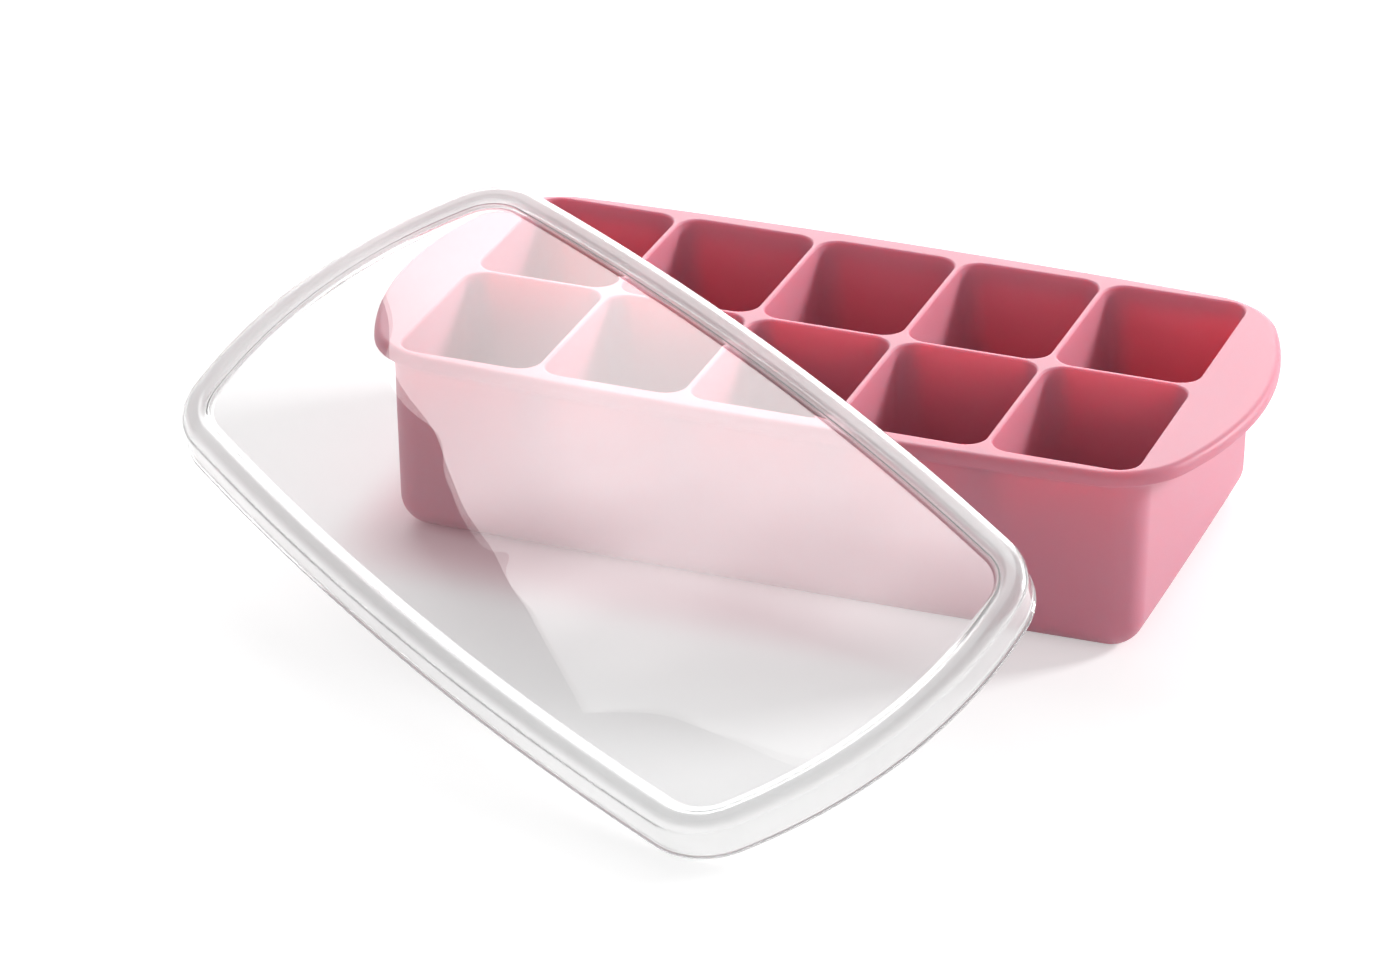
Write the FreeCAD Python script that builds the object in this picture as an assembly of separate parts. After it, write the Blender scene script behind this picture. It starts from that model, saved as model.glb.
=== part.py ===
"""Baby food freezer tray: a moulded silicone tray of ten cups, and its clear lid.

Millimetres. +Z is up and X runs along the tray. The origin is the centre of the
tray's flat base. The lid is stored leaning on the tray: its lowest corner stands on
the surface beside the tray, and the rest of it lies on the tray's rim.
"""
import FreeCAD, Part
import math
import os

Vector = FreeCAD.Vector
UP = Vector(0, 0, 1)

# Cups, in two rows of five.
CUP_COLUMNS = 5
CUP_ROWS = 2
CUP_PITCH = 38.0              # from one cup to the next along X
CUP_ROW_OUTER_EDGE = 49.5     # a row's outer edge, from the tray's centre line
DIVIDER = 1.55                # wall between two cups, just under its rounded crest
CUP_DEPTH = 46.0
CUP_DRAFT = 3.0               # degrees, on all four walls
CUP_MOUTH_CORNER = 5.5
CUP_FLOOR_CORNER = 8.5
CUP_FLOOR_FILLET = 6.0
CREST_ROUND = 0.6

# Rim and end grips: one flat plate with a barrel-shaped outline. Its edge rolls over
# in a large round on top and ends in a small one underneath.
TRAY_HEIGHT = 49.4
RIM_HALF_LENGTH = 112.1
RIM_HALF_WIDTH = 55.8
RIM_SIDE_BOW = 3.2
RIM_END_BOW = 14.7
RIM_CORNER = 22.0
RIM_THICKNESS = 3.6
RIM_TOP_ROUND = 2.4
RIM_UNDER_ROUND = 0.8

# Body under the rim.
BODY_HALF_LENGTH = 96.9
BODY_HALF_WIDTH = 52.3
BODY_SIDE_BOW = 1.5
BODY_END_BOW = 0.3
BODY_CORNER = 9.0
BODY_DRAFT = 0.8              # degrees
BODY_BOTTOM_ROUND = 8.0
CORE_OVERLAP = 0.05           # the core reaches this far past the corner arcs' centres
BODY_RIM_FILLET = 2.6         # the cove between wall and rim, no wider than the rim

# Lid: a flat panel, a raised ridge around it and a skirt that goes over the rim.
LID_HALF_LENGTH = 114.5
LID_HALF_WIDTH = 59.8
LID_SIDE_BOW = 5.7
LID_END_BOW = 12.9
LID_CORNER = 19.6
LID_WALL = 1.2
LID_RIDGE_HEIGHT = 10.3       # the ridge's top above the skirt's lower edge
LID_PANEL_STEP = 1.8          # the panel's top face lies this far under the ridge's
LID_BEAD = 0.6                # the skirt's lower edge stands out by this much
LID_BEAD_HEIGHT = 1.4
LID_SQUARE_FOOT = 1.0         # height of the straight inner wall at the lower edge
LID_SHOULDER = 2.7            # outer radius from skirt to ridge
LID_RIDGE_FLAT = 1.7
LID_RIDGE_ROUND = 3.2         # where the ridge turns down to the panel
LID_PANEL_ROUND = 1.3         # where that slope meets the panel

# Where the leaning lid lies. The turns are applied about the lid's own axes.
LID_HEADING = -30.3           # about Z
LID_NOSE_DOWN = 8.07          # about the lid's Y: its +X end is the low one
LID_LEAN = 21.44              # about the lid's X: its -Y side is the low one
LID_CENTRE = Vector(-27.0, -84.5, 32.76)


class Outline:
    """Barrel-shaped outline: bowed sides and ends joined by tangent corner arcs."""

    def __init__(self, half_length, half_width, side_bow, end_bow, corner):
        self.half_length = half_length
        self.half_width = half_width
        side_chord = half_length - end_bow
        end_chord = half_width - side_bow
        self.side_radius = (side_chord ** 2 + side_bow ** 2) / (2 * side_bow)
        self.end_radius = (end_chord ** 2 + end_bow ** 2) / (2 * end_bow)
        self.corner_radius = corner
        self.side_centre = Vector(0, half_width - self.side_radius, 0)
        self.end_centre = Vector(half_length - self.end_radius, 0, 0)
        self.corner_centre = self._corner_centre()

    def _corner_centre(self):
        """Centre of the corner arc that touches the side and the end from inside."""
        from_side = self.side_radius - self.corner_radius
        from_end = self.end_radius - self.corner_radius
        between = self.end_centre - self.side_centre
        distance = between.Length
        along = (from_side ** 2 - from_end ** 2 + distance ** 2) / (2 * distance)
        across = math.sqrt(from_side ** 2 - along ** 2)
        between.normalize()
        normal = Vector(-between.y, between.x, 0)
        foot = self.side_centre + between * along
        candidates = [foot + normal * across, foot - normal * across]
        return max(candidates, key=lambda point: point.x + point.y)

    def arcs(self):
        """The eight arcs, anticlockwise: (centre, radius, first angle, last angle)."""
        corner = self.corner_centre
        to_end = corner - self.end_centre
        to_side = corner - self.side_centre
        end_angle = math.atan2(to_end.y, to_end.x)
        side_angle = math.atan2(to_side.y, to_side.x)
        half_turn = math.pi
        return [
            (self.end_centre, self.end_radius, -end_angle, end_angle),
            (corner, self.corner_radius, end_angle, side_angle),
            (self.side_centre, self.side_radius, side_angle, half_turn - side_angle),
            (Vector(-corner.x, corner.y, 0), self.corner_radius,
             half_turn - side_angle, half_turn - end_angle),
            (self.end_centre * -1, self.end_radius,
             half_turn - end_angle, half_turn + end_angle),
            (corner * -1, self.corner_radius, half_turn + end_angle, half_turn + side_angle),
            (self.side_centre * -1, self.side_radius,
             half_turn + side_angle, 2 * half_turn - side_angle),
            (Vector(corner.x, -corner.y, 0), self.corner_radius,
             2 * half_turn - side_angle, 2 * half_turn - end_angle),
        ]

    def face(self, inset, height):
        """The flat face inside the outline, moved in by inset."""
        edges = []
        for centre, radius, first, last in self.arcs():
            points = [polar(centre, radius - inset, angle, height)
                      for angle in (first, (first + last) / 2, last)]
            edges.append(Part.Arc(*points).toShape())
        return Part.Face(Part.Wire(edges))

    def sweep(self, profile):
        """A ring with this profile all around.

        profile is a list of edges in (inset, height), closed, in the XZ plane with
        X as the inset from the outline.
        """
        ring = None
        for centre, radius, first, last in self.arcs():
            section = Part.Face(Part.Wire(profile))
            section.rotate(Vector(0, 0, 0), UP, math.degrees(first) + 180)
            section.translate(polar(centre, radius, first, 0))
            sector = section.revolve(centre, UP, math.degrees(last - first))
            ring = sector if ring is None else ring.fuse(sector)
        return ring


def polar(centre, radius, angle, height):
    """The point at a radius and angle about a centre, at a height."""
    return Vector(centre.x + radius * math.cos(angle),
                  centre.y + radius * math.sin(angle), height)


def line(start, end):
    """Edge of a profile between two (inset, height) points."""
    return Part.LineSegment(Vector(start[0], 0, start[1]), Vector(end[0], 0, end[1])).toShape()


def bend(centre, radius, first, last):
    """Round edge of a profile about an (inset, height) centre; angles in degrees."""
    points = []
    for angle in (first, (first + last) / 2, last):
        turn = math.radians(angle)
        points.append(Vector(centre[0] + radius * math.cos(turn), 0,
                             centre[1] + radius * math.sin(turn)))
    return Part.Arc(*points).toShape()


def ends(edge):
    """First and last point of a profile's edge, as (inset, height)."""
    first = edge.valueAt(edge.FirstParameter)
    last = edge.valueAt(edge.LastParameter)
    return (first.x, first.z), (last.x, last.z)


def joined(edges):
    """Closes the gaps between a profile's round edges with straight ones."""
    profile = []
    for index, edge in enumerate(edges):
        following = edges[(index + 1) % len(edges)]
        profile.append(edge)
        here = ends(edge)[1]
        there = ends(following)[0]
        if math.dist(here, there) > 0.001:
            profile.append(line(here, there))
    return profile


def rounded_rectangle(length, width, corner, centre, height):
    """Closed wire of a rounded rectangle."""
    half_x = length / 2 - corner
    half_y = width / 2 - corner
    quarters = [(half_x, half_y, 0), (-half_x, half_y, 90),
                (-half_x, -half_y, 180), (half_x, -half_y, 270)]
    arcs = []
    for offset_x, offset_y, start in quarters:
        middle = centre + Vector(offset_x, offset_y, 0)
        points = [polar(middle, corner, math.radians(start + turn), height)
                  for turn in (0, 45, 90)]
        arcs.append(points)
    edges = []
    for index, points in enumerate(arcs):
        following = arcs[(index + 1) % len(arcs)]
        edges.append(Part.Arc(*points).toShape())
        edges.append(Part.LineSegment(points[2], following[0]).toShape())
    return Part.Wire(edges)


def cup_centres():
    """Centre of each cup's mouth, on the tray's top plane."""
    inner_edge = DIVIDER / 2
    row_centre = (CUP_ROW_OUTER_EDGE + inner_edge) / 2
    centres = []
    for row in range(CUP_ROWS):
        side = 2 * row - (CUP_ROWS - 1)
        for column in range(CUP_COLUMNS):
            x = (column - (CUP_COLUMNS - 1) / 2) * CUP_PITCH
            centres.append(Vector(x, side * row_centre, TRAY_HEIGHT))
    return centres


def cup_hollow(centre):
    """The inside of one cup, drafted, with a rounded floor; open above the rim."""
    length = CUP_PITCH - DIVIDER
    width = CUP_ROW_OUTER_EDGE - DIVIDER / 2
    shrink = 2 * CUP_DEPTH * math.tan(math.radians(CUP_DRAFT))
    floor_height = TRAY_HEIGHT - CUP_DEPTH
    mouth = rounded_rectangle(length, width, CUP_MOUTH_CORNER, centre, TRAY_HEIGHT)
    floor = rounded_rectangle(length - shrink, width - shrink, CUP_FLOOR_CORNER, centre,
                              floor_height)
    hollow = Part.makeLoft([floor, mouth], True, True)
    floor_edges = [edge for edge in hollow.Edges
                   if edge.BoundBox.ZMax < floor_height + 0.01]
    return hollow.makeFillet(CUP_FLOOR_FILLET, floor_edges)


def rim_outline():
    """The outline of the rim and its two end grips."""
    return Outline(RIM_HALF_LENGTH, RIM_HALF_WIDTH, RIM_SIDE_BOW, RIM_END_BOW, RIM_CORNER)


def rim_plate():
    """The flat rim with its two end grips and its rounded edge."""
    outline = rim_outline()
    top = TRAY_HEIGHT
    bottom = TRAY_HEIGHT - RIM_THICKNESS
    inner = 2 * RIM_TOP_ROUND
    edge = joined([
        bend((RIM_TOP_ROUND, top - RIM_TOP_ROUND), RIM_TOP_ROUND, 90, 180),
        bend((RIM_UNDER_ROUND, bottom + RIM_UNDER_ROUND), RIM_UNDER_ROUND, 180, 270),
        line((inner, bottom), (inner, top)),
    ])
    plate = outline.face(inner, bottom).extrude(UP * RIM_THICKNESS)
    return outline.sweep(edge).fuse(plate)


def body_block():
    """The solid body under the rim, before the cups are hollowed out of it.

    The cove that flares out to the rim is trimmed where the rim is narrower than it.
    """
    outline = Outline(BODY_HALF_LENGTH, BODY_HALF_WIDTH, BODY_SIDE_BOW, BODY_END_BOW,
                      BODY_CORNER)
    top = TRAY_HEIGHT - RIM_THICKNESS
    draft = top * math.tan(math.radians(BODY_DRAFT))
    round_top = BODY_BOTTOM_ROUND * (1 - math.sin(math.radians(BODY_DRAFT)))
    centre_inset = draft + BODY_BOTTOM_ROUND
    inner = BODY_CORNER - CORE_OVERLAP
    wall = joined([
        bend((-BODY_RIM_FILLET, top - BODY_RIM_FILLET), BODY_RIM_FILLET, 90, 0),
        line((0, top - BODY_RIM_FILLET),
             (centre_inset - BODY_BOTTOM_ROUND * math.cos(math.radians(BODY_DRAFT)), round_top)),
        bend((centre_inset, BODY_BOTTOM_ROUND), BODY_BOTTOM_ROUND, 180 + BODY_DRAFT, 270),
        line((inner, 0), (inner, top)),
    ])
    core = outline.face(inner, 0).extrude(UP * top)
    under_rim = rim_outline().face(RIM_UNDER_ROUND, 0).extrude(UP * top)
    return outline.sweep(wall).fuse(core).common(under_rim)


def make_tray():
    """Rim, body and ten cups: one silicone moulding."""
    tray = rim_plate().fuse(body_block()).removeSplitter()
    for centre in cup_centres():
        tray = tray.cut(cup_hollow(centre))
    mouth_edges = []
    for edge in tray.Edges:
        box = edge.BoundBox
        on_top = box.ZMin > TRAY_HEIGHT - 0.01
        inside = abs(box.Center.y) < CUP_ROW_OUTER_EDGE + 0.01
        within_length = abs(box.Center.x) < CUP_COLUMNS * CUP_PITCH / 2
        if on_top and inside and within_length and box.DiagonalLength < 2 * CUP_PITCH:
            mouth_edges.append(edge)
    return tray.makeFillet(CREST_ROUND, mouth_edges)


def lid_profile():
    """Skirt, shoulder and ridge, down to the panel's edge, as one thin wall."""
    ridge = LID_RIDGE_HEIGHT
    shoulder = (LID_BEAD + LID_SHOULDER, ridge - LID_SHOULDER)
    crest = (shoulder[0] + LID_RIDGE_FLAT, ridge - LID_RIDGE_ROUND)
    both = LID_RIDGE_ROUND + LID_PANEL_ROUND
    slope = math.degrees(math.acos(1 - LID_PANEL_STEP / both))
    panel_inset = crest[0] + both * math.sin(math.radians(slope))
    panel = (panel_inset, ridge - LID_PANEL_STEP + LID_PANEL_ROUND)
    inner_wall = LID_BEAD + LID_WALL
    bead = LID_BEAD_HEIGHT / 2
    profile = joined([
        bend((bead, bead), bead, 270, 120),
        bend(shoulder, LID_SHOULDER, 180, 90),
        bend(crest, LID_RIDGE_ROUND, 90, 90 - slope),
        bend(panel, LID_PANEL_ROUND, 270 - slope, 270),
        bend(panel, LID_PANEL_ROUND + LID_WALL, 270, 270 - slope),
        bend(crest, LID_RIDGE_ROUND - LID_WALL, 90 - slope, 90),
        bend(shoulder, LID_SHOULDER - LID_WALL, 90, 180),
        line((inner_wall, LID_SQUARE_FOOT), (inner_wall, 0)),
    ])
    return profile, panel_inset


def make_lid():
    """The lid in its own axes: Z = 0 is the skirt's lower edge, +Z its top side."""
    outline = Outline(LID_HALF_LENGTH, LID_HALF_WIDTH, LID_SIDE_BOW, LID_END_BOW, LID_CORNER)
    profile, panel_inset = lid_profile()
    panel_bottom = LID_RIDGE_HEIGHT - LID_PANEL_STEP - LID_WALL
    panel = outline.face(panel_inset, panel_bottom).extrude(UP * LID_WALL)
    return outline.sweep(profile).fuse(panel).removeSplitter()


def lean(lid):
    """Puts the lid where it leans on the tray's rim."""
    turn = FreeCAD.Rotation(LID_HEADING, LID_NOSE_DOWN, LID_LEAN)
    leaning = lid.copy()
    leaning.Placement = FreeCAD.Placement(LID_CENTRE, turn)
    return leaning


os.makedirs("parts", exist_ok=True)
PARTS = {"tray": make_tray(), "lid": lean(make_lid())}
for name, shape in PARTS.items():
    shape.exportStep("parts/" + name + ".step")
    box = shape.BoundBox
    print(name, "solids", len(shape.Solids), "valid", shape.isValid(),
          "volume", round(shape.Volume / 1000, 1), "cm3",
          "x %.1f %.1f y %.1f %.1f z %.2f %.2f" % (box.XMin, box.XMax, box.YMin, box.YMax,
                                                box.ZMin, box.ZMax))
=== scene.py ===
"""Baby food freezer tray: a pink silicone tray of ten cups and its clear leaning lid."""

import math

import bmesh
import bpy
from mathutils import Matrix, Vector


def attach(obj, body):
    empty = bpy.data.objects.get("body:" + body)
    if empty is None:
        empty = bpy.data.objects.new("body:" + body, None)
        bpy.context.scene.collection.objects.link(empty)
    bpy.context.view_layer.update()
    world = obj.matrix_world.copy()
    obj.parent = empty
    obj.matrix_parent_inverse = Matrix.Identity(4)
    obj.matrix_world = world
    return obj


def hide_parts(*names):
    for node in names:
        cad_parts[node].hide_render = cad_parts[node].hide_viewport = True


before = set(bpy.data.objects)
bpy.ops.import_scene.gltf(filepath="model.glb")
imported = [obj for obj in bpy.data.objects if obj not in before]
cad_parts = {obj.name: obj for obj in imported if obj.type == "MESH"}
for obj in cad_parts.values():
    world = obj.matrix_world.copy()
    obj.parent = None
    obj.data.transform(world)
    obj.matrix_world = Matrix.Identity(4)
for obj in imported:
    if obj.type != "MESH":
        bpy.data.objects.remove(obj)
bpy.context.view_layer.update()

# ---------------------------------------------------------------- silicone tray shell
# The outside of the tray: a flat rim with two end grips, and the body under it, with a
# place in its top for each cup of the next section. It is one thick silicone moulding,
# so every edge is rounded and the outlines are bowed.

# Sizes are in millimetres, and a mesh is scaled to metres when it is finished.
MM = 0.001

COLUMNS = 5
ROWS = 2
PITCH = 38.0
ROW_OUTER_EDGE = 49.5
DIVIDER = 1.55
ROW_PITCH = ROW_OUTER_EDGE + DIVIDER / 2

TRAY_HEIGHT = 49.4
RIM_THICKNESS = 3.6
RIM_TOP_ROUND = 2.1
RIM_UNDER_ROUND = 0.8
BODY_DRAFT = math.radians(0.8)
BODY_BOTTOM_ROUND = 8.0
BODY_RIM_FILLET = 2.6

END_STEPS = 40
CORNER_STEPS = 20
SIDE_STEPS = 80
HAIRLINE = 0.05


class Barrel:
    """A barrel-shaped outline: bowed sides and ends with tangent corner arcs."""

    def __init__(self, half_length, half_width, side_bow, end_bow, corner):
        side_chord = half_length - end_bow
        end_chord = half_width - side_bow
        self.side_radius = (side_chord ** 2 + side_bow ** 2) / (2 * side_bow)
        self.end_radius = (end_chord ** 2 + end_bow ** 2) / (2 * end_bow)
        self.corner = corner
        self.side_centre = Vector((0, half_width - self.side_radius))
        self.end_centre = Vector((half_length - self.end_radius, 0))
        from_side = self.side_radius - corner
        from_end = self.end_radius - corner
        between = self.end_centre - self.side_centre
        gap = between.length
        along = (from_side ** 2 - from_end ** 2 + gap ** 2) / (2 * gap)
        across = math.sqrt(from_side ** 2 - along ** 2)
        ahead = between.normalized()
        aside = Vector((-ahead.y, ahead.x))
        foot = self.side_centre + ahead * along
        self.corner_centre = max(foot + aside * across, foot - aside * across,
                                 key=lambda point: point.x + point.y)

    def ring(self, inset):
        """Points of the outline moved in by inset, anticlockwise."""
        cx, cy = self.corner_centre
        to_end = self.corner_centre - self.end_centre
        to_side = self.corner_centre - self.side_centre
        end_turn = math.atan2(to_end.y, to_end.x)
        side_turn = math.atan2(to_side.y, to_side.x)
        ex, sy = self.end_centre.x, self.side_centre.y
        half = math.pi
        arcs = [
            ((ex, 0), self.end_radius, -end_turn, end_turn, END_STEPS),
            ((cx, cy), self.corner, end_turn, side_turn, CORNER_STEPS),
            ((0, sy), self.side_radius, side_turn, half - side_turn, SIDE_STEPS),
            ((-cx, cy), self.corner, half - side_turn, half - end_turn, CORNER_STEPS),
            ((-ex, 0), self.end_radius, half - end_turn, half + end_turn, END_STEPS),
            ((-cx, -cy), self.corner, half + end_turn, half + side_turn, CORNER_STEPS),
            ((0, -sy), self.side_radius, half + side_turn, 2 * half - side_turn,
             SIDE_STEPS),
            ((cx, -cy), self.corner, 2 * half - side_turn, 2 * half - end_turn,
             CORNER_STEPS),
        ]
        points = []
        for (x, y), radius, first, last, steps in arcs:
            for step in range(steps):
                turn = first + (last - first) * step / steps
                points.append((x + (radius - inset) * math.cos(turn),
                               y + (radius - inset) * math.sin(turn)))
        return points


def add_ring(mesh, points, height):
    """Vertices of one ring at a height."""
    return [mesh.verts.new((x, y, height)) for x, y in points]


def bridge(mesh, upper, lower):
    """Quads between two rings with the same number of vertices."""
    count = len(upper)
    for index in range(count):
        following = (index + 1) % count
        mesh.faces.new((upper[index], lower[index], lower[following], upper[following]))


def bend(centre, radius, first, last, steps):
    """Points along an arc about a centre, from one angle to another in degrees."""
    points = []
    for step in range(steps + 1):
        turn = math.radians(first + (last - first) * step / steps)
        points.append((centre[0] + radius * math.cos(turn),
                       centre[1] + radius * math.sin(turn)))
    return points


def finished(mesh, name, place=None):
    """A smooth-shaded object in metres from a mesh in millimetres, moved to its place."""
    if place is not None:
        bmesh.ops.transform(mesh, matrix=place, verts=mesh.verts)
    bmesh.ops.scale(mesh, vec=(MM, MM, MM), verts=mesh.verts)
    data = bpy.data.meshes.new(name)
    mesh.to_mesh(data)
    mesh.free()
    for face in data.polygons:
        face.use_smooth = True
    made = bpy.data.objects.new(name, data)
    bpy.context.scene.collection.objects.link(made)
    return made


CUP_CORNER = 5.5
CUP_DRAFT = math.radians(3.0)
CREST_ROUND = 0.6
CREST_RUN = CREST_ROUND * math.tan((math.pi / 2 - CUP_DRAFT) / 2)
MOUTH_FLAT = CREST_RUN + HAIRLINE
CUP_CORNER_STEPS = 10
CUP_END_STEPS = 6
CUP_SIDE_STEPS = 8


def cup_ring(inset, corner):
    """Points round a cup at an inset from its mouth, about the cup's middle."""
    half_x = (PITCH - DIVIDER) / 2 - inset
    half_y = (ROW_PITCH - DIVIDER) / 2 - inset
    corners = []
    for sign_x, sign_y, start in ((1, 1, 0), (-1, 1, 90), (-1, -1, 180), (1, -1, 270)):
        middle = (sign_x * (half_x - corner), sign_y * (half_y - corner))
        corners.append(bend(middle, corner, start, start + 90, CUP_CORNER_STEPS))
    points = []
    for index, arc in enumerate(corners):
        following = corners[(index + 1) % 4][0]
        steps = CUP_END_STEPS if index % 2 == 0 else CUP_SIDE_STEPS
        points += arc
        for step in range(1, steps):
            share = step / steps
            points.append((arc[-1][0] + (following[0] - arc[-1][0]) * share,
                           arc[-1][1] + (following[1] - arc[-1][1]) * share))
    return points


def ring_edges(mesh, ring):
    """The edges of a closed ring, made where they aren't there yet."""
    edges = []
    for first, second in zip(ring, ring[1:] + ring[:1]):
        edges.append(mesh.edges.get((first, second)) or mesh.edges.new((first, second)))
    return edges


bm = bmesh.new()
rim = Barrel(half_length=112.1, half_width=55.8, side_bow=3.2, end_bow=14.7, corner=22.0)
body = Barrel(half_length=96.9, half_width=52.3, side_bow=1.5, end_bow=0.3, corner=9.0)
rim_base = TRAY_HEIGHT - RIM_THICKNESS
rim_profile = [(RIM_TOP_ROUND + HAIRLINE, TRAY_HEIGHT)]
rim_profile += bend((RIM_TOP_ROUND, TRAY_HEIGHT - RIM_TOP_ROUND), RIM_TOP_ROUND,
                    90, 180, steps=12)
rim_profile += bend((RIM_UNDER_ROUND, rim_base + RIM_UNDER_ROUND), RIM_UNDER_ROUND,
                    180, 270, steps=6)
fillet_base = rim_base - BODY_RIM_FILLET
foot_inset = rim_base * math.tan(BODY_DRAFT) + BODY_BOTTOM_ROUND
shell_rings = [add_ring(bm, rim.ring(inset), height) for inset, height in rim_profile]

# Under the rim a cove runs down into the wall. It is as wide as the overhang allows.
overhang = [Vector(point) for point in rim.ring(RIM_UNDER_ROUND)]
wall_top = [Vector(point) for point in body.ring(0)]
COVE_STEPS = 8
for step in range(COVE_STEPS):
    turn = math.pi / 2 * step / COVE_STEPS
    points = []
    for outer, inner in zip(overhang, wall_top):
        width = min((outer - inner).length - HAIRLINE, BODY_RIM_FILLET)
        direction = (outer - inner).normalized()
        points.append(inner + direction * width * (1 - math.sin(turn)))
    shell_rings.append(add_ring(bm, points, rim_base - BODY_RIM_FILLET * (1 - math.cos(turn))))
body_profile = [(0.0, fillet_base)]
wall_foot = (foot_inset - BODY_BOTTOM_ROUND * math.cos(BODY_DRAFT),
             BODY_BOTTOM_ROUND * (1 - math.sin(BODY_DRAFT)))
WALL_STEPS = 8
for wall_step in range(1, WALL_STEPS):
    wall_share = wall_step / WALL_STEPS
    body_profile.append((wall_foot[0] * wall_share,
                         fillet_base + (wall_foot[1] - fillet_base) * wall_share))
body_profile += bend((foot_inset, BODY_BOTTOM_ROUND), BODY_BOTTOM_ROUND,
                     180 + math.degrees(BODY_DRAFT), 270, steps=12)
shell_rings += [add_ring(bm, body.ring(inset), height) for inset, height in body_profile]
for ring_above, ring_below in zip(shell_rings, shell_rings[1:]):
    bridge(bm, ring_above, ring_below)
bm.faces.new(reversed(shell_rings[-1]))

# The flat top is filled between the rim's inner ring and the mouths of all the cups.
mouth_loops = []
for column in range(COLUMNS):
    for row in range(ROWS):
        offset_x = (column - (COLUMNS - 1) / 2) * PITCH
        offset_y = (row - (ROWS - 1) / 2) * ROW_PITCH
        mouth = [(x + offset_x, y + offset_y)
                 for x, y in cup_ring(-MOUTH_FLAT, CUP_CORNER + MOUTH_FLAT)]
        mouth_loops += ring_edges(bm, add_ring(bm, mouth, TRAY_HEIGHT))
top_fill = bmesh.ops.triangle_fill(bm, use_beauty=True, normal=(0, 0, 1),
                                   edges=mouth_loops + ring_edges(bm, shell_rings[0]))
bm.normal_update()
for piece in top_fill["geom"]:
    if isinstance(piece, bmesh.types.BMFace) and piece.normal.z < 0:
        piece.normal_flip()
tray = finished(bm, "tray_silicone")

# ---------------------------------------------------------------- the ten cups
# Each cup is a drafted pocket with a rounded rectangular mouth, a softly rounded
# crest shared with its neighbours, and a filleted floor. All ten are the same, so one
# cell is made and set out in a grid of five by two.
CUP_DEPTH = 46.0
CUP_FLOOR_CORNER = 8.5
CUP_FLOOR_FILLET = 6.0

slope = math.tan(CUP_DRAFT)
cup_profile = [(-MOUTH_FLAT, 0.0)]
cup_profile += bend((-CREST_RUN, CREST_ROUND), CREST_ROUND,
                    -90, -math.degrees(CUP_DRAFT), steps=6)
fillet_depth = CUP_DEPTH - CUP_FLOOR_FILLET
fillet_inset = fillet_depth * slope + CUP_FLOOR_FILLET / math.cos(CUP_DRAFT)
fillet_start = fillet_depth + CUP_FLOOR_FILLET * math.sin(CUP_DRAFT)
CUP_WALL_STEPS = 14
crest_foot = cup_profile[-1][1]
for wall_step in range(1, CUP_WALL_STEPS):
    deep = crest_foot + (fillet_start - crest_foot) * wall_step / CUP_WALL_STEPS
    cup_profile.append((deep * slope, deep))
cup_profile += bend((fillet_inset, fillet_depth), CUP_FLOOR_FILLET,
                    180 - math.degrees(CUP_DRAFT), 90, steps=10)
cup_profile.append((fillet_inset + HAIRLINE, CUP_DEPTH))

bm = bmesh.new()
cup_rings = []
for inset, deep in cup_profile:
    growth = (CUP_FLOOR_CORNER - CUP_CORNER) * deep / CUP_DEPTH
    corner = CUP_CORNER + growth - (inset - deep * slope)
    cup_rings.append(add_ring(bm, cup_ring(inset, corner), -deep))
for ring_above, ring_below in zip(cup_rings, cup_rings[1:]):
    bridge(bm, ring_below, ring_above)
bm.faces.new(cup_rings[-1])
bm.normal_update()
cup_cell = finished(bm, "cup_cell")

# The silicone is a soft satin pink, a little cloudy in tint and gloss, with the fine
# grain of its mould. Light goes some way into it.
DEEP_PINK = (0.6, 0.226, 0.295, 1)
PALE_PINK = (0.63, 0.248, 0.319, 1)
CLOUD_SCALE = 22.0
GRAIN_SCALE = 2600.0
GRAIN_DEPTH = 0.0002
SATIN = (0.4, 0.48)


def noise(tree, place, scale, detail):
    """A noise pattern at a place, as a value."""
    pattern = tree.nodes.new("ShaderNodeTexNoise")
    pattern.inputs["Scale"].default_value = scale
    pattern.inputs["Detail"].default_value = detail
    tree.links.new(place, pattern.inputs["Vector"])
    return pattern.outputs["Fac"]


def spread(tree, value, first, last, start=0.0, stop=1.0, smooth=False):
    """Goes from first to last while a value goes from start to stop."""
    ramp = tree.nodes.new("ShaderNodeMapRange")
    ramp.interpolation_type = "SMOOTHSTEP" if smooth else "LINEAR"
    ramp.inputs["From Min"].default_value = start
    ramp.inputs["From Max"].default_value = stop
    ramp.inputs["To Min"].default_value = first
    ramp.inputs["To Max"].default_value = last
    tree.links.new(value, ramp.inputs["Value"])
    return ramp.outputs["Result"]


def blend_colours(tree, value, first, last):
    """A colour between two, by a value."""
    mix = tree.nodes.new("ShaderNodeMix")
    mix.data_type = "RGBA"
    mix.inputs["A"].default_value = first
    mix.inputs["B"].default_value = last
    tree.links.new(value, mix.inputs["Factor"])
    return mix.outputs["Result"]


silicone = bpy.data.materials.new("silicone")
silicone.use_nodes = True
look = silicone.node_tree
skin = look.nodes["Principled BSDF"]
on_tray = look.nodes.new("ShaderNodeTexCoord").outputs["Object"]
cloud = noise(look, on_tray, CLOUD_SCALE, 3.0)
look.links.new(blend_colours(look, cloud, DEEP_PINK, PALE_PINK), skin.inputs["Base Color"])
look.links.new(spread(look, cloud, *SATIN), skin.inputs["Roughness"])
grain = look.nodes.new("ShaderNodeBump")
grain.inputs["Strength"].default_value = 0.12
grain.inputs["Distance"].default_value = GRAIN_DEPTH
look.links.new(noise(look, on_tray, GRAIN_SCALE, 2.0), grain.inputs["Height"])
look.links.new(grain.outputs["Normal"], skin.inputs["Normal"])
skin.inputs["Subsurface Weight"].default_value = 0.75
skin.inputs["Subsurface Radius"].default_value = (1.0, 0.3, 0.34)
skin.inputs["Subsurface Scale"].default_value = 0.006
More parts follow.
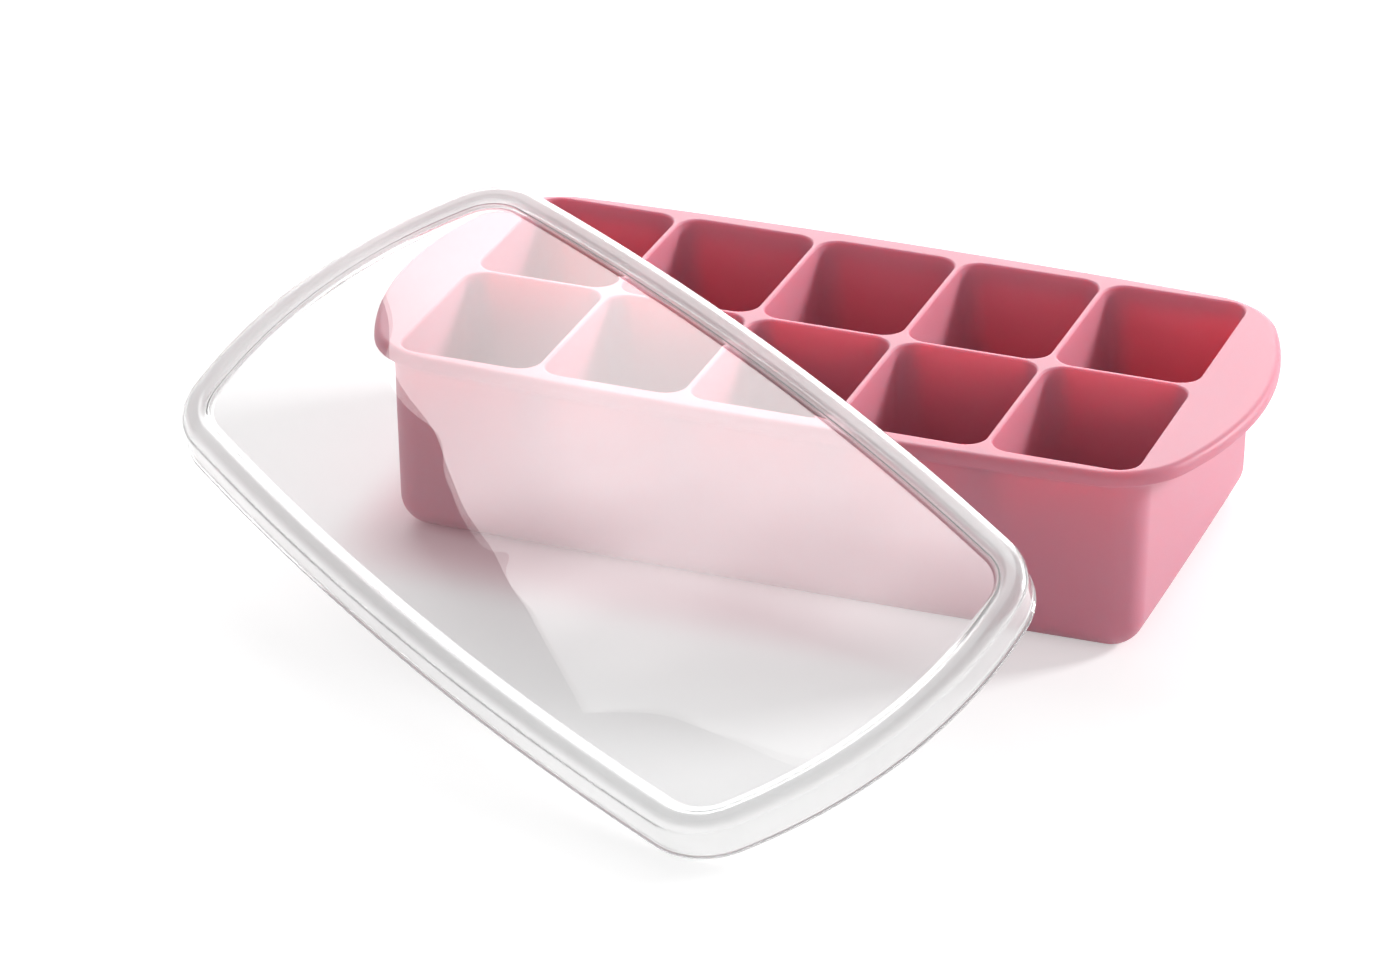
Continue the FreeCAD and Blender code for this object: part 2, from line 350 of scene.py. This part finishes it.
skin.inputs["Specular IOR Level"].default_value = 0.32

# The grid sets the cup out under the shell's top, and welds cups and shell into one skin.
WELD = 0.00001
tree = bpy.data.node_groups.new("Cup grid", "GeometryNodeTree")
shell_in = tree.interface.new_socket("Shell", in_out="INPUT",
                                     socket_type="NodeSocketGeometry")
cup_in = tree.interface.new_socket("Cup", in_out="INPUT", socket_type="NodeSocketObject")
columns_in = tree.interface.new_socket("Columns", in_out="INPUT",
                                       socket_type="NodeSocketInt")
rows_in = tree.interface.new_socket("Rows", in_out="INPUT", socket_type="NodeSocketInt")
length_in = tree.interface.new_socket("Length between outer cups", in_out="INPUT",
                                      socket_type="NodeSocketFloat")
width_in = tree.interface.new_socket("Width between rows", in_out="INPUT",
                                     socket_type="NodeSocketFloat")
height_in = tree.interface.new_socket("Mouth height", in_out="INPUT",
                                      socket_type="NodeSocketFloat")
finish_in = tree.interface.new_socket("Finish", in_out="INPUT",
                                      socket_type="NodeSocketMaterial")
tree.interface.new_socket("Tray", in_out="OUTPUT", socket_type="NodeSocketGeometry")
start = tree.nodes.new("NodeGroupInput")
grid = tree.nodes.new("GeometryNodeMeshGrid")
lift = tree.nodes.new("ShaderNodeCombineXYZ")
raised = tree.nodes.new("GeometryNodeTransform")
cup_info = tree.nodes.new("GeometryNodeObjectInfo")
set_out = tree.nodes.new("GeometryNodeInstanceOnPoints")
joined = tree.nodes.new("GeometryNodeJoinGeometry")
real = tree.nodes.new("GeometryNodeRealizeInstances")
welded = tree.nodes.new("GeometryNodeMergeByDistance")
painted = tree.nodes.new("GeometryNodeSetMaterial")
end = tree.nodes.new("NodeGroupOutput")
welded.inputs["Distance"].default_value = WELD
wires = [
    (start.outputs["Columns"], grid.inputs["Vertices X"]),
    (start.outputs["Rows"], grid.inputs["Vertices Y"]),
    (start.outputs["Length between outer cups"], grid.inputs["Size X"]),
    (start.outputs["Width between rows"], grid.inputs["Size Y"]),
    (start.outputs["Mouth height"], lift.inputs["Z"]),
    (grid.outputs["Mesh"], raised.inputs["Geometry"]),
    (lift.outputs["Vector"], raised.inputs["Translation"]),
    (raised.outputs["Geometry"], set_out.inputs["Points"]),
    (start.outputs["Cup"], cup_info.inputs["Object"]),
    (cup_info.outputs["Geometry"], set_out.inputs["Instance"]),
    (set_out.outputs["Instances"], joined.inputs["Geometry"]),
    (start.outputs["Shell"], joined.inputs["Geometry"]),
    (joined.outputs["Geometry"], real.inputs["Geometry"]),
    (real.outputs["Geometry"], welded.inputs["Geometry"]),
    (welded.outputs["Geometry"], painted.inputs["Geometry"]),
    (start.outputs["Finish"], painted.inputs["Material"]),
    (painted.outputs["Geometry"], end.inputs["Tray"]),
]
for source, target in wires:
    tree.links.new(source, target)

layout = tray.modifiers.new("Cups", "NODES")
layout.node_group = tree
layout[cup_in.identifier] = cup_cell
layout[columns_in.identifier] = COLUMNS
layout[rows_in.identifier] = ROWS
layout[length_in.identifier] = (COLUMNS - 1) * PITCH * MM
layout[width_in.identifier] = (ROWS - 1) * ROW_PITCH * MM
layout[height_in.identifier] = TRAY_HEIGHT * MM
layout[finish_in.identifier] = silicone
depsgraph = bpy.context.evaluated_depsgraph_get()
whole_tray = bpy.data.meshes.new_from_object(tray.evaluated_get(depsgraph))
tray.modifiers.clear()
tray.data = whole_tray
bpy.data.objects.remove(cup_cell)
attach(tray, "tray")
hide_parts("tray")

# ---------------------------------------------------------------- clear lid
# One thin clear plastic moulding: a flat panel inside a raised ridge, and a short skirt
# that goes over the tray's rim and ends in a small rounded lip. It leans on the tray.
# The panel is glossy and slightly rippled. Ridge and skirt are faintly milky.
LID_WALL = 1.2
RIDGE_HEIGHT = 10.3
PANEL_STEP = 1.8
LIP = 0.6
LIP_TOP = 2.2
ABOVE_LIP = 3.2
LIP_ROUND = 0.7
SHOULDER = 2.7
RIDGE_FLAT = 1.7
RIDGE_ROUND = 3.2
PANEL_ROUND = 1.3
INNER_LIP_ROUND = 0.3
SKIRT_HAZE = 0.38

LID_CENTRE = Vector((-27.0, -84.5, 32.76))
LID_HEADING = math.radians(-30.3)
LID_NOSE_DOWN = math.radians(8.07)
LID_LEAN = math.radians(21.44)

lid_outline = Barrel(half_length=114.5, half_width=59.8, side_bow=5.7, end_bow=12.9,
                     corner=19.6)
shoulder_at = (LIP + SHOULDER, RIDGE_HEIGHT - SHOULDER)
crest_at = (shoulder_at[0] + RIDGE_FLAT, RIDGE_HEIGHT - RIDGE_ROUND)
both_rounds = RIDGE_ROUND + PANEL_ROUND
fall = math.degrees(math.acos(1 - PANEL_STEP / both_rounds))
panel_inset = crest_at[0] + both_rounds * math.sin(math.radians(fall))
panel_at = (panel_inset, RIDGE_HEIGHT - PANEL_STEP + PANEL_ROUND)
inner_wall = LIP + LID_WALL
lid_profile = [(panel_inset + HAIRLINE, panel_at[1] - PANEL_ROUND)]
lid_profile += bend(panel_at, PANEL_ROUND, 270, 270 - fall, steps=8)
lid_profile += bend(crest_at, RIDGE_ROUND, 90 - fall, 90, steps=10)
lid_profile += bend(shoulder_at, SHOULDER, 90, 180, steps=14)
lid_profile.append((LIP, ABOVE_LIP))
lid_profile.append((LIP, LIP_TOP))
lid_profile += bend((LIP_ROUND, LIP_ROUND), LIP_ROUND, 120, 270, steps=12)
lid_profile += bend((inner_wall - INNER_LIP_ROUND, INNER_LIP_ROUND), INNER_LIP_ROUND,
                    270, 360, steps=5)
lid_profile.append((inner_wall, LIP_TOP))
lid_profile += bend(shoulder_at, SHOULDER - LID_WALL, 180, 90, steps=10)
lid_profile += bend(crest_at, RIDGE_ROUND - LID_WALL, 90, 90 - fall, steps=8)
lid_profile += bend(panel_at, PANEL_ROUND + LID_WALL, 270 - fall, 270, steps=8)
lid_profile.append((panel_inset + HAIRLINE, panel_at[1] - PANEL_ROUND - LID_WALL))


def milkiness(inset):
    """Haze across the lid: rises up the skirt, whole on the ridge, none on the panel."""
    if inset < shoulder_at[0]:
        return SKIRT_HAZE + (1 - SKIRT_HAZE) * max(inset, 0) / shoulder_at[0]
    inward = (panel_inset - inset) / (panel_inset - crest_at[0])
    return min(max(inward, 0.0), 1.0)


bm = bmesh.new()
haze_layer = bm.verts.layers.float.new("mould_haze")
lid_rings = []
for inset, height in lid_profile:
    lid_rings.append(add_ring(bm, lid_outline.ring(inset), height))
    for vertex in lid_rings[-1]:
        vertex[haze_layer] = milkiness(inset)
for ring_above, ring_below in zip(lid_rings, lid_rings[1:]):
    bridge(bm, ring_above, ring_below)
bm.faces.new(lid_rings[0])
bm.faces.new(reversed(lid_rings[-1]))

leaning = (Matrix.Translation(LID_CENTRE)
           @ Matrix.Rotation(LID_HEADING, 4, "Z")
           @ Matrix.Rotation(LID_NOSE_DOWN, 4, "Y")
           @ Matrix.Rotation(LID_LEAN, 4, "X"))
lid = finished(bm, "lid_clear", leaning)

# The plastic: clear with a hard gloss over its own, mixed with a milky body that both
# scatters light back and lets it through.
CLEAR = (0.99, 0.99, 0.99, 1)
MILK = (0.96, 0.97, 0.97, 1)
RIPPLE_SCALE = 16.0
RIPPLE_DEPTH = 0.0004
MOST_MILK = 0.5
MOST_HAZE = 0.12
MILK_THROUGH = 0.6
SLANTED = 0.8
LIGHT_PAST_SLANT = 0.6
LIGHT_PAST_MILK = 0.74


def mix_shaders(tree, share, first, last):
    """A shader between two, by a share."""
    mix = tree.nodes.new("ShaderNodeMixShader")
    tree.links.new(share, mix.inputs["Fac"])
    tree.links.new(first, mix.inputs[1])
    tree.links.new(last, mix.inputs[2])
    return mix.outputs["Shader"]


def reckon(tree, operation, first, second):
    """One step of arithmetic on two values, the second of which may be a plain number."""
    step = tree.nodes.new("ShaderNodeMath")
    step.operation = operation
    tree.links.new(first, step.inputs[0])
    if isinstance(second, float):
        step.inputs[1].default_value = second
    else:
        tree.links.new(second, step.inputs[1])
    return step.outputs["Value"]


clear_plastic = bpy.data.materials.new("clear_plastic")
clear_plastic.use_nodes = True
look = clear_plastic.node_tree
plastic = look.nodes["Principled BSDF"]
on_lid = look.nodes.new("ShaderNodeTexCoord").outputs["Object"]
ripple = look.nodes.new("ShaderNodeBump")
ripple.inputs["Strength"].default_value = 1.0
ripple.inputs["Distance"].default_value = RIPPLE_DEPTH
look.links.new(noise(look, on_lid, RIPPLE_SCALE, 1.0), ripple.inputs["Height"])
look.links.new(ripple.outputs["Normal"], plastic.inputs["Normal"])
look.links.new(ripple.outputs["Normal"], plastic.inputs["Coat Normal"])
edge_haze = look.nodes.new("ShaderNodeAttribute")
edge_haze.attribute_name = "mould_haze"
milky = edge_haze.outputs["Fac"]
look.links.new(spread(look, milky, 0.0, MOST_HAZE), plastic.inputs["Roughness"])
plastic.inputs["Base Color"].default_value = CLEAR
plastic.inputs["IOR"].default_value = 1.5
plastic.inputs["Transmission Weight"].default_value = 1.0
plastic.inputs["Coat Weight"].default_value = 1.0
plastic.inputs["Coat IOR"].default_value = 1.7
plastic.inputs["Coat Roughness"].default_value = 0.0

milk_front = look.nodes.new("ShaderNodeBsdfDiffuse")
milk_front.inputs["Color"].default_value = MILK
milk_through = look.nodes.new("ShaderNodeBsdfTranslucent")
milk_through.inputs["Color"].default_value = MILK
milk = look.nodes.new("ShaderNodeMixShader")
milk.inputs["Fac"].default_value = MILK_THROUGH
look.links.new(milk_front.outputs["BSDF"], milk.inputs[1])
look.links.new(milk_through.outputs["BSDF"], milk.inputs[2])
milk_gloss = look.nodes.new("ShaderNodeBsdfGlossy")
milk_gloss.inputs["Color"].default_value = (1.0, 1.0, 1.0, 1)
milk_gloss.inputs["Roughness"].default_value = 0.25
milk_edge = look.nodes.new("ShaderNodeFresnel")
milk_edge.inputs["IOR"].default_value = 1.4
glazed_milk = mix_shaders(look, milk_edge.outputs["Fac"], milk.outputs["Shader"],
                          milk_gloss.outputs["BSDF"])
moulding = mix_shaders(look, spread(look, milky, 0.0, MOST_MILK), plastic.outputs["BSDF"],
                       glazed_milk)

# Light that falls through the lid onto something passes straight on, a little weaker
# where the lid is milky or seen along its surface.
slant = look.nodes.new("ShaderNodeLayerWeight")
slant.inputs["Blend"].default_value = 0.5
past_slant = spread(look, slant.outputs["Facing"], 1.0, LIGHT_PAST_SLANT, start=SLANTED,
                    smooth=True)
past_milk = spread(look, milky, 1.0, LIGHT_PAST_MILK)
see_through = look.nodes.new("ShaderNodeBsdfTransparent")
look.links.new(reckon(look, "MULTIPLY", past_slant, past_milk), see_through.inputs["Color"])
ray = look.nodes.new("ShaderNodeLightPath")
falls_through = reckon(look, "MAXIMUM", ray.outputs["Is Shadow Ray"],
                       ray.outputs["Is Diffuse Ray"])
look.links.new(mix_shaders(look, falls_through, moulding, see_through.outputs["BSDF"]),
               look.nodes["Material Output"].inputs["Surface"])
lid.data.materials.append(clear_plastic)
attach(lid, "lid")
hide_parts("lid")

# ---------------------------------------------------------------- studio floor
# A sheet of white paper under everything. Camera, mirrors and the clear lid see some
# white of its own, as far as the lamps leave it grey.
FLOOR_HALF = 6.0
FLOOR_DROP = 0.0002
WHITE = (1.0, 1.0, 1.0, 1)
PAPER = (0.8, 0.8, 0.8, 1)
# Painted pink glow: the colour the paper's own white takes at the tray's left foot, in place
# of the silicone's bounce light.
PAINTED_PINK_GLOW = (1.0, 0.2, 0.33, 1)
FOOT_HALF = (0.09, 0.046, 0.0)
FOOT_SHADE_REACH = (0.0238, 0.0357)
# Share of the paper's own white left at the tray's left foot: painted shade on top of the
# tray's real shadow.
WHITE_IN_PAINTED_FOOT_SHADE = 0.35
RIGHT_PART = (-0.05, 0.07)
LAMPS_FADE = (0.5, 2.0)
FAR_WHITE = 2.4
OWN_WHITE_SEEN = 0.4
OWN_WHITE_MIRRORED = 0.34


def vector_step(tree, operation, first, second=None):
    """One step of arithmetic on a vector, with a fixed second vector where it needs one."""
    step = tree.nodes.new("ShaderNodeVectorMath")
    step.operation = operation
    tree.links.new(first, step.inputs[0])
    if second is not None:
        step.inputs[1].default_value = second
    return step.outputs["Value" if operation == "LENGTH" else "Vector"]


floor_corners = [(x * FLOOR_HALF, y * FLOOR_HALF, -FLOOR_DROP)
                 for x, y in ((-1, -1), (1, -1), (1, 1), (-1, 1))]
floor_mesh = bpy.data.meshes.new("floor")
floor_mesh.from_pydata(floor_corners, [], [(0, 1, 2, 3)])
floor = bpy.data.objects.new("floor", floor_mesh)
bpy.context.scene.collection.objects.link(floor)
paper = bpy.data.materials.new("paper")
paper.use_nodes = True
look = paper.node_tree
sheet = look.nodes["Principled BSDF"]
sheet.inputs["Base Color"].default_value = PAPER
sheet.inputs["Roughness"].default_value = 1.0
sheet.inputs["Specular IOR Level"].default_value = 0.0

# Round the left part of the tray's foot the paper's own white is held back by place. That is a
# painted shade which deepens the tray's real shadow there.
# There the white is also tinted pink, a painted glow in place of the pink light the silicone
# throws.
on_floor = look.nodes.new("ShaderNodeTexCoord").outputs["Object"]
past_foot = vector_step(look, "SUBTRACT", vector_step(look, "ABSOLUTE", on_floor), FOOT_HALF)
outside = vector_step(look, "MAXIMUM", past_foot, (0.0, 0.0, 0.0))
per_reach = (1 / FOOT_SHADE_REACH[0], 1 / FOOT_SHADE_REACH[1], 0.0)
off_foot = vector_step(look, "LENGTH", vector_step(look, "MULTIPLY", outside, per_reach))
along = look.nodes.new("ShaderNodeSeparateXYZ")
look.links.new(on_floor, along.inputs["Vector"])
right_part = spread(look, along.outputs["X"], 0.0, 1.0, *RIGHT_PART, smooth=True)
clear_of_painted_foot_shade = reckon(look, "MAXIMUM", spread(look, off_foot, 0.0, 1.0, smooth=True),
                       right_part)

# Further out the lamps fade, and the paper's own white makes up for that.
far_out = vector_step(look, "LENGTH", on_floor)
# Painted shade: by place, the paper's own white drops near the tray's left foot.
near_and_far = reckon(look, "MULTIPLY", spread(look, clear_of_painted_foot_shade, WHITE_IN_PAINTED_FOOT_SHADE, 1.0),
                      spread(look, far_out, 1.0, FAR_WHITE, *LAMPS_FADE))
ray = look.nodes.new("ShaderNodeLightPath")
mirrored = reckon(look, "MAXIMUM", ray.outputs["Is Glossy Ray"],
                  ray.outputs["Is Transmission Ray"])
seen = reckon(look, "ADD", reckon(look, "MULTIPLY", mirrored, OWN_WHITE_MIRRORED),
              reckon(look, "MULTIPLY", ray.outputs["Is Camera Ray"], OWN_WHITE_SEEN))
own_white_and_painted_glow = look.nodes.new("ShaderNodeEmission")
# Near the foot the paper's own white turns into the painted pink glow.
look.links.new(blend_colours(look, clear_of_painted_foot_shade, PAINTED_PINK_GLOW, WHITE), own_white_and_painted_glow.inputs["Color"])
look.links.new(reckon(look, "MULTIPLY", seen, near_and_far), own_white_and_painted_glow.inputs["Strength"])
lit_paper = look.nodes.new("ShaderNodeAddShader")
look.links.new(sheet.outputs["BSDF"], lit_paper.inputs[0])
look.links.new(own_white_and_painted_glow.outputs["Emission"], lit_paper.inputs[1])
look.links.new(lit_paper.outputs["Shader"], look.nodes["Material Output"].inputs["Surface"])
floor_mesh.materials.append(paper)

# ---------------------------------------------------------------- studio walls
# White walls, bright low down and dim towards the ceiling. The camera sees them plain
# white.
CEILING = 0.28
WALLS_FADE = (0.2, 0.78)

world = bpy.data.worlds.new("studio")
bpy.context.scene.world = world
world.use_nodes = True
look = world.node_tree
backdrop = look.nodes["Background"]
backdrop.inputs["Color"].default_value = WHITE
upward = look.nodes.new("ShaderNodeSeparateXYZ")
look.links.new(look.nodes.new("ShaderNodeTexCoord").outputs["Generated"],
               upward.inputs["Vector"])
walls = spread(look, upward.outputs["Z"], 1.0, CEILING, *WALLS_FADE, smooth=True)
ray = look.nodes.new("ShaderNodeLightPath")
look.links.new(reckon(look, "MAXIMUM", walls, ray.outputs["Is Camera Ray"]),
               backdrop.inputs["Strength"])

# ---------------------------------------------------------------- lamps
# A cloth diffuser hangs over the floor behind the tray's left part, where the lid's
# panel mirrors it, and dims to its front and left edges. Two lamps stand behind the
# tray: a large soft box, and a small one at its right end.
DIFFUSER_HEIGHT = 1.2
DIFFUSER_OUTLINE = [(-0.604, 0.19), (-0.25, 0.19), (-0.25, 1.3), (-1.0, 1.3), (-1.0, 0.4),
                    (-0.766, 0.4)]
FRONT_EDGE = (0.21, 0.31)
FRONT_GLOW = (0.8, 2.85)
LEFT_EDGE = (-0.85, -0.62)
LEFT_SHARE = (0.4, 1.0)
LAMP_AIM = Vector((0, 0, 0.03))

diffuser_mesh = bpy.data.meshes.new("overhead_diffuser")
diffuser_mesh.from_pydata([(x, y, DIFFUSER_HEIGHT) for x, y in DIFFUSER_OUTLINE], [],
                          [tuple(reversed(range(len(DIFFUSER_OUTLINE))))])
diffuser = bpy.data.objects.new("overhead_diffuser", diffuser_mesh)
bpy.context.scene.collection.objects.link(diffuser)
diffuser.visible_camera = False
cloth = bpy.data.materials.new("diffuser_cloth")
cloth.use_nodes = True
look = cloth.node_tree
look.nodes.remove(look.nodes["Principled BSDF"])
on_cloth = look.nodes.new("ShaderNodeSeparateXYZ")
look.links.new(look.nodes.new("ShaderNodeTexCoord").outputs["Object"],
               on_cloth.inputs["Vector"])
from_front = spread(look, on_cloth.outputs["Y"], *FRONT_GLOW, *FRONT_EDGE, smooth=True)
from_left = spread(look, on_cloth.outputs["X"], *LEFT_SHARE, *LEFT_EDGE)
facing = look.nodes.new("ShaderNodeNewGeometry")
under_side = look.nodes.new("ShaderNodeMath")
under_side.operation = "SUBTRACT"
under_side.inputs[0].default_value = 1.0
look.links.new(facing.outputs["Backfacing"], under_side.inputs[1])
bright = look.nodes.new("ShaderNodeEmission")
look.links.new(reckon(look, "MULTIPLY", reckon(look, "MULTIPLY", from_front, from_left),
                      under_side.outputs["Value"]),
               bright.inputs["Strength"])
look.links.new(bright.outputs["Emission"], look.nodes["Material Output"].inputs["Surface"])
diffuser_mesh.materials.append(cloth)


def soft_box(name, place, size, radiance):
    """A rectangular lamp of a given surface brightness, turned to the tray."""
    lamp = bpy.data.lights.new(name, "AREA")
    lamp.shape = "RECTANGLE"
    lamp.size, lamp.size_y = size
    lamp.energy = radiance * math.pi * size[0] * size[1]
    holder = bpy.data.objects.new(name, lamp)
    holder.location = place
    holder.rotation_euler = (LAMP_AIM - Vector(place)).to_track_quat("-Z", "Y").to_euler()
    bpy.context.scene.collection.objects.link(holder)


soft_box("right_side", place=(1.1, 0.9, 0.6), size=(0.32, 0.32), radiance=52.0)
soft_box("behind", place=(-0.64, 1.7, 0.9), size=(2.0, 1.35), radiance=4.5)

# ---------------------------------------------------------------- camera
# It looks down on the tray's front from the right. It stands far off with a long lens,
# so that the tray's edges run nearly parallel.
CAMERA_PLACE = (0.42351, -1.20038, 0.64808)
CAMERA_DIRECTION = Vector((-0.31765, 0.83469, -0.44988))

camera = bpy.data.cameras.new("camera")
camera.sensor_width = 36.0
camera.lens = 146.716
camera_holder = bpy.data.objects.new("camera", camera)
camera_holder.location = CAMERA_PLACE
camera_holder.rotation_euler = CAMERA_DIRECTION.to_track_quat("-Z", "Y").to_euler()
bpy.context.scene.collection.objects.link(camera_holder)
bpy.context.scene.camera = camera_holder
bpy.context.scene.view_settings.view_transform = "Standard"
